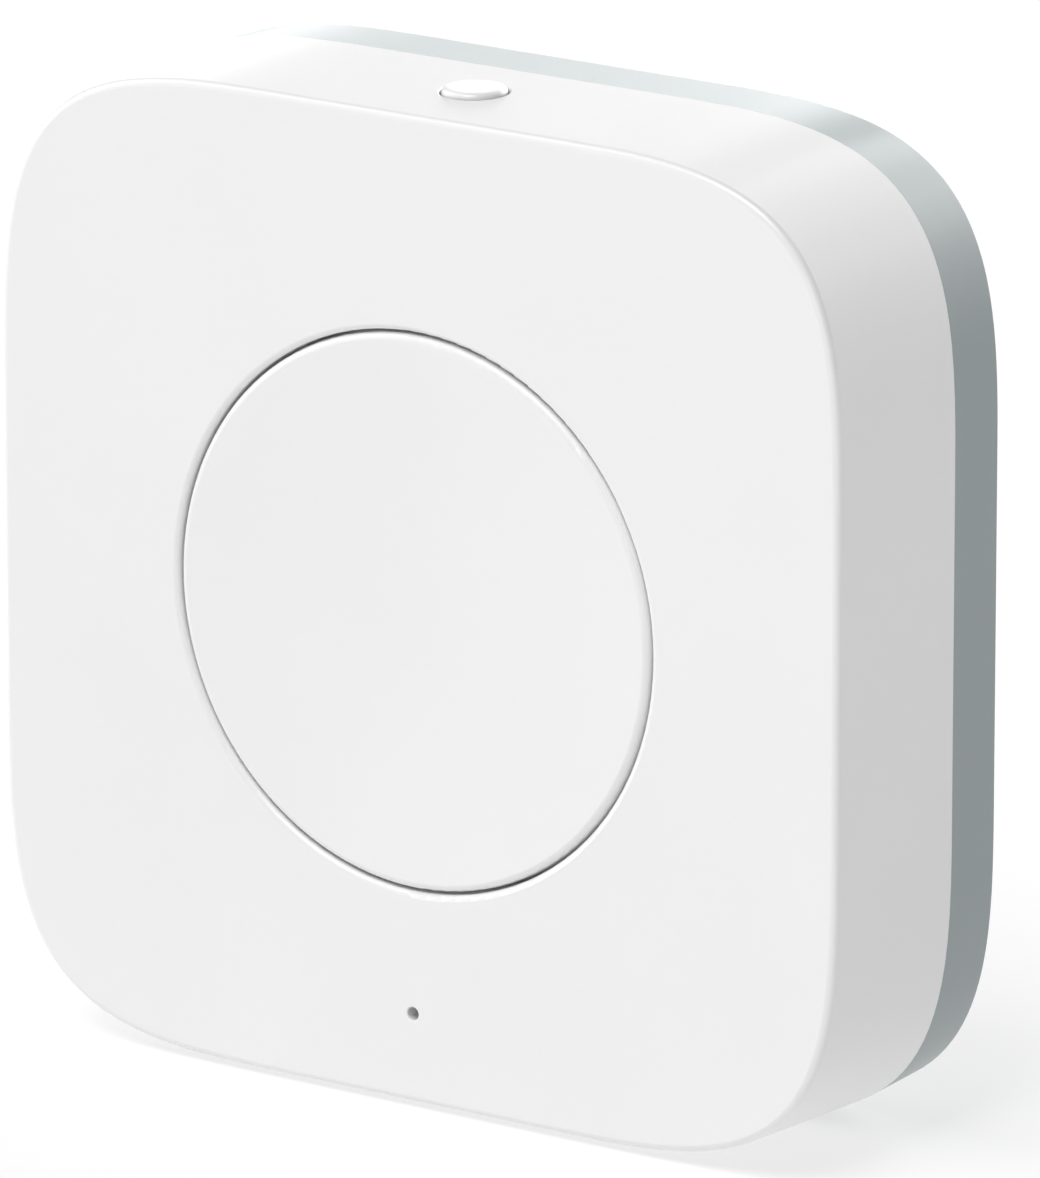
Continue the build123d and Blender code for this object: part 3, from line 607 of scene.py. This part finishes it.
class SMARTBUTTON_OT_screws(bpy.types.Operator):
    """Make the two self-tapping screws with domed cross-recess heads and threads"""

    bl_idname = "smartbutton.screws"
    bl_label = "Screws"

    def execute(self, context):
        shape = bmesh.new()
        for low, high in islands("board_screws"):
            self.screw(shape, low, high)
        bmesh.ops.recalc_face_normals(shape, faces=shape.faces)
        screws = make_piece("screws", shape, "housing", "screw_steel", "board_screws", sharp=40)
        steel = metal("screw steel", context.scene.button_metal.steel, roughness=0.28)
        paint(screws, steel)
        return {"FINISHED"}

    def screw(self, shape, low, high):
        """One screw, its head towards the wall, with the CAD screw's sizes."""
        middle = (low + high) / 2
        radius = (high.x - low.x) / 2
        head = high.y - BOARD_BACK
        place = Matrix.Translation((middle.x, high.y, middle.z))
        top = bmesh.ops.create_circle(shape, cap_ends=False, segments=HEAD_SEGMENTS,
                                      radius=radius * HEAD_TOP,
                                      matrix=place @ Matrix.Rotation(math.pi / 2, 4, "X"))["verts"]
        rim = edges_at(top)
        width, level = HEAD_TOP, 0.0
        for wide, deep in (*HEAD_RINGS, (SHANK, 1.0)):
            rim = self.ring(shape, rim, middle, wide / width, (level - deep) * head)
            width, level = wide, deep
        bottom = low.y - BOARD_BACK
        rim = self.ring(shape, rim, middle, 1.0, bottom * (1 - TIP_LENGTH))
        rim = self.ring(shape, rim, middle, TIP_WIDTH, bottom * TIP_LENGTH)
        bmesh.ops.contextual_create(shape, geom=rim)
        self.recess(shape, top, middle, radius)
        self.thread(shape, middle, radius * SHANK, bottom)

    @staticmethod
    def narrow(shape, verts, middle, factor):
        """Scales points towards a screw's axis."""
        space = Matrix.Translation((-middle.x, 0, -middle.z))
        bmesh.ops.scale(shape, vec=(factor, 1, factor), space=space, verts=verts)

    def ring(self, shape, rim, middle, factor, step):
        """Extrudes a ring of edges, scales it about the screw's axis and moves it along."""
        made = bmesh.ops.extrude_edge_only(shape, edges=rim)["geom"]
        verts = [part for part in made if isinstance(part, bmesh.types.BMVert)]
        self.narrow(shape, verts, middle, factor)
        bmesh.ops.translate(shape, vec=(0, step, 0), verts=verts)
        return [part for part in made if isinstance(part, bmesh.types.BMEdge)]

    def recess(self, shape, rim, middle, radius):
        """Sinks a four-armed recess inside the rim of the head's middle."""
        face = bmesh.ops.contextual_create(shape, geom=list(rim))["faces"][0]
        bmesh.ops.inset_individual(shape, faces=[face], thickness=radius * RECESS_LIP)
        for vert in face.verts:
            angle = math.atan2(vert.co.z - middle.z, vert.co.x - middle.x)
            along = max(abs(math.cos(angle)), abs(math.sin(angle))) ** ARM_SHARPNESS
            arm = RECESS_WAIST + (1 - RECESS_WAIST) * along
            vert.co.x = middle.x + (vert.co.x - middle.x) * arm
            vert.co.z = middle.z + (vert.co.z - middle.z) * arm
        deep = bmesh.ops.extrude_face_region(shape, geom=[face])["geom"]
        floor = [part for part in deep if isinstance(part, bmesh.types.BMVert)]
        bmesh.ops.delete(shape, geom=[face], context="FACES_ONLY")
        self.narrow(shape, floor, middle, RECESS_FLOOR)
        bmesh.ops.translate(shape, vec=(0, -radius * RECESS_DEPTH, 0), verts=floor)

    @staticmethod
    def thread(shape, middle, shank, bottom):
        """Winds a sharp ridge round the shank."""
        turns = int(abs(bottom) * THREAD_LENGTH / THREAD_PITCH)
        start = Vector((middle.x + shank * THREAD_ROOT, BOARD_BACK + bottom * THREAD_START,
                        middle.z))
        crest = start + Vector((shank * THREAD_HEIGHT, -THREAD_PITCH / 4, 0))
        foot = start + Vector((0, -THREAD_PITCH / 2, 0))
        verts = [shape.verts.new(point) for point in (start, crest, foot)]
        edges = [shape.edges.new(pair) for pair in zip(verts, verts[1:] + verts[:1])]
        last = bmesh.ops.spin(shape, geom=verts + edges, cent=(middle.x, 0, middle.z),
                              axis=(0, 1, 0), dvec=(0, -THREAD_PITCH / THREAD_STEPS, 0),
                              angle=math.tau * turns, steps=THREAD_STEPS * turns,
                              use_merge=False)["geom_last"]
        for end in (edges, [part for part in last if isinstance(part, bmesh.types.BMEdge)]):
            bmesh.ops.contextual_create(shape, geom=end)


class SMARTBUTTON_OT_metals(bpy.types.Operator):
    """Finish the springs, the cell, the shield and the switches' metal parts"""

    bl_idname = "smartbutton.metals"
    bl_label = "Metal parts"

    def execute(self, context):
        look = context.scene.button_metal
        spring = metal("nickel-plated spring", look.spring, roughness=0.24)
        tin = metal("tinned sheet", look.tin, roughness=0.34)
        gold = metal("gold-plated copper", look.gold, roughness=0.25)
        case = turned_metal("cell case", look.steel, roughness=0.2)
        paint_nodes(spring, "positive_contact", "negative_contact")
        paint_nodes(tin, "main_switch_cover", "main_switch_leads", "reset_switch_frame",
                    "radio_shield", "radio_crystal")
        paint_nodes(gold, "antenna_trace", "test_pads")
        paint_nodes(case, "battery_can", "battery_cap")
        self.dome("main_snap_dome", "main_switch_dome", spring, "main_button_press",
                  (0, 1, 0), (0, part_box("main_switch_dome")[1].y, 0), MAIN_DOME_KEEP)
        self.dome("reset_snap_dome", "reset_switch_dome", spring, "reset_button_press",
                  (0, 0, 1), (0, 0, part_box("reset_switch_dome")[0].z), RESET_DOME_KEEP)
        return {"FINISHED"}

    @staticmethod
    def dome(name, node, finish, joint, axis, rim, keep):
        """Snap dome made from a merged copy of the CAD node, with this finish."""
        piece = make_piece(name, copied(node, flat=False), "housing", node_slot(node), node)
        paint(piece, finish)
        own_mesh(piece)


# Inner mouldings, chips and the light

HAZE = 0.0004  # size of the cloudy spots in the light pipe


def speckled(name, tone, size, roughness):
    """Plastic or resin with a fine speckle of filler."""
    finish = Finish(name)
    speck = finish.noise(size, detail=3.0)
    finish.surface(tone, patch=speck, darkest=0.7, mark=speck, roughness=roughness, spread=0.15,
                   depth=0.000003)
    return finish


class SMARTBUTTON_OT_inner(bpy.types.Operator):
    """Finish the inner mouldings, the chip, the seal, the filling and the light"""

    bl_idname = "smartbutton.inner"
    bl_label = "Inner parts"

    def execute(self, context):
        for name, tone, size, roughness, nodes in (
            ("black glass-filled nylon", (0.03, 0.03, 0.032), 0.00015, 0.45,
             ("main_switch_base", "reset_switch_base", "main_switch_plunger",
              "reset_switch_plunger", "battery_cradle")),
            ("chip resin", (0.025, 0.025, 0.027), 0.00008, 0.6, ("radio_chip",)),
            ("nylon seal", (0.7, 0.7, 0.66), 0.0002, 0.5, ("battery_gasket",)),
            ("cell filling", (0.05, 0.05, 0.05), 0.0001, 0.8, ("battery_filling",)),
            ("lamp resin", (0.85, 0.78, 0.5), 0.0001, 0.3, ("status_led",)),
        ):
            paint_nodes(speckled(name, tone, size, roughness), *nodes)
        clear = Finish("clear acrylic", Transmission_Weight=1.0, IOR=1.49)
        clear.set(Roughness=0.04 + clear.noise(HAZE) * 0.08)
        paint_nodes(clear, "light_pipe")
        return {"FINISHED"}


# Stage

SENSOR_WIDTH = 36.0  # millimetres, as the lens
NEAREST_SEEN = 0.01
TABLE_RADIUS = 3.0
TABLE_GLOW = 0.63
BACKDROP_GLOW = 0.68
PANELS = {  # name: (azimuth, elevation, distance, size, power)
    "key_panel": (-80, 20, 3.0, 1.5, 41.5),
    "key_high_panel": (-75, 50, 3.0, 1.5, 16.2),
    "top_panel": (0, 60, 1.2, 0.7, 11.0),
    "front_panel": (20, 5, 0.5, 0.25, 0.482),
    "back_panel": (180, 20, 1.2, 0.7, 6.2),
    "back_high_panel": (180, 27, 1.2, 1.0, 1.5),
    "back_right_panel": (165, 12, 1.2, 0.5, 1.8),
    "right_panel": (150, 15, 1.2, 0.7, 2.3),
    "back_left_panel": (200, 12, 1.2, 0.5, 2.5),
    "sheen_panel": (215, 6, 1.2, 0.3, 0.9),
}


def aim(thing, place, target):
    """Puts a light or the camera at a place, looking at the target."""
    thing.location = place
    thing.rotation_euler = (Vector(target) - Vector(place)).to_track_quat("-Z", "Y").to_euler()
    bpy.context.scene.collection.objects.link(thing)


def bearing(azimuth, elevation):
    """Direction from the button, with azimuth 0 in front of its face and a right angle right."""
    level = math.cos(elevation)
    return Vector((math.sin(azimuth) * level, -math.cos(azimuth) * level, math.sin(elevation)))


class SMARTBUTTON_OT_stage(bpy.types.Operator):
    """Set up the camera, the white table, the soft lights and the pale backdrop"""

    bl_idname = "smartbutton.stage"
    bl_label = "Studio"

    def execute(self, context):
        self.camera(context.scene)
        self.lights()
        self.table()
        self.backdrop(context.scene)
        context.scene.view_settings.view_transform = "Standard"
        return {"FINISHED"}

    @staticmethod
    def camera(scene):
        """Camera at the photograph's viewing angle."""
        stage = scene.button_stage
        data = bpy.data.cameras.new("camera")
        data.sensor_width = SENSOR_WIDTH
        data.lens = stage.lens
        data.clip_start = NEAREST_SEEN
        camera = bpy.data.objects.new("camera", data)
        back = bearing(stage.azimuth, stage.elevation)
        aim(camera, Vector(stage.target) + back * stage.distance, stage.target)
        scene.camera = camera

    @staticmethod
    def lights():
        """Soft square panels round the button."""
        for name, (azimuth, elevation, distance, size, power) in PANELS.items():
            light = bpy.data.lights.new(name, "AREA")
            light.size = size
            light.energy = power
            place = bearing(math.radians(azimuth), math.radians(elevation)) * distance
            aim(bpy.data.objects.new(name, light), place, (0, 0, 0))

    @staticmethod
    def table():
        """Large white table just under the button."""
        mesh = bpy.data.meshes.new("table")
        shape = bmesh.new()
        bmesh.ops.create_circle(shape, cap_ends=True, segments=96, radius=TABLE_RADIUS,
                                matrix=Matrix.Translation((0, 0, TABLE_HEIGHT)))
        shape.to_mesh(mesh)
        shape.free()
        table = bpy.data.objects.new("table", mesh)
        bpy.context.scene.collection.objects.link(table)
        white = Finish("white table", Roughness=0.9, Base_Color=(0.3, 0.3, 0.3, 1),
                       Emission_Color=(1, 1, 1, 1), Emission_Strength=TABLE_GLOW)
        paint(table, white)

    @staticmethod
    def backdrop(scene):
        """Pale world behind the table, which only the camera sees: it lights nothing."""
        world = bpy.data.worlds.new("studio")
        scene.world = world
        world.use_nodes = True
        glow = world.node_tree.nodes["Background"].inputs
        glow["Strength"].default_value = BACKDROP_GLOW
        glow["Color"].default_value = (1, 1, 1, 1)
        for ray in ("diffuse", "glossy", "transmission", "scatter"):
            setattr(world.cycles_visibility, ray, False)


class SMARTBUTTON_PT_panel(bpy.types.Panel):
    """Lists the steps and their settings"""

    bl_label = "Smart Button"
    bl_idname = "SMARTBUTTON_PT_panel"
    bl_space_type = "VIEW_3D"
    bl_region_type = "UI"
    bl_category = "Smart Button"

    def draw(self, context):
        for settings in (getattr(context.scene, name) for name in SETTINGS):
            for name in settings.bl_rna.properties.keys():
                if name not in ("rna_type", "name"):
                    self.layout.prop(settings, name)
        for step in STEPS:
            self.layout.operator(step.bl_idname)


STEPS = (
    SMARTBUTTON_OT_shell,
    SMARTBUTTON_OT_cover,
    SMARTBUTTON_OT_pad,
    SMARTBUTTON_OT_board,
    SMARTBUTTON_OT_small_parts,
    SMARTBUTTON_OT_screws,
    SMARTBUTTON_OT_metals,
    SMARTBUTTON_OT_inner,
    SMARTBUTTON_OT_stage,
)
SETTINGS = {
    "button_plastic": PlasticSettings,
    "button_board": BoardSettings,
    "button_metal": MetalSettings,
    "button_pad": PadSettings,
    "button_stage": StageSettings,
}
CLASSES = (*SETTINGS.values(), *STEPS, SMARTBUTTON_PT_panel)


def register():
    for cls in CLASSES:
        bpy.utils.register_class(cls)
    for name, settings in SETTINGS.items():
        setattr(bpy.types.Scene, name, PointerProperty(type=settings))


def unregister():
    for name in SETTINGS:
        delattr(bpy.types.Scene, name)
    for cls in reversed(CLASSES):
        bpy.utils.unregister_class(cls)


def main():
    """Builds every piece and the stage."""
    register()
    bpy.ops.smartbutton.shell()
    bpy.ops.smartbutton.cover()
    bpy.ops.smartbutton.pad()
    bpy.ops.smartbutton.board()
    bpy.ops.smartbutton.small_parts()
    bpy.ops.smartbutton.screws()
    bpy.ops.smartbutton.metals()
    bpy.ops.smartbutton.inner()
    bpy.ops.smartbutton.stage()


if __name__ == "__main__":
    main()
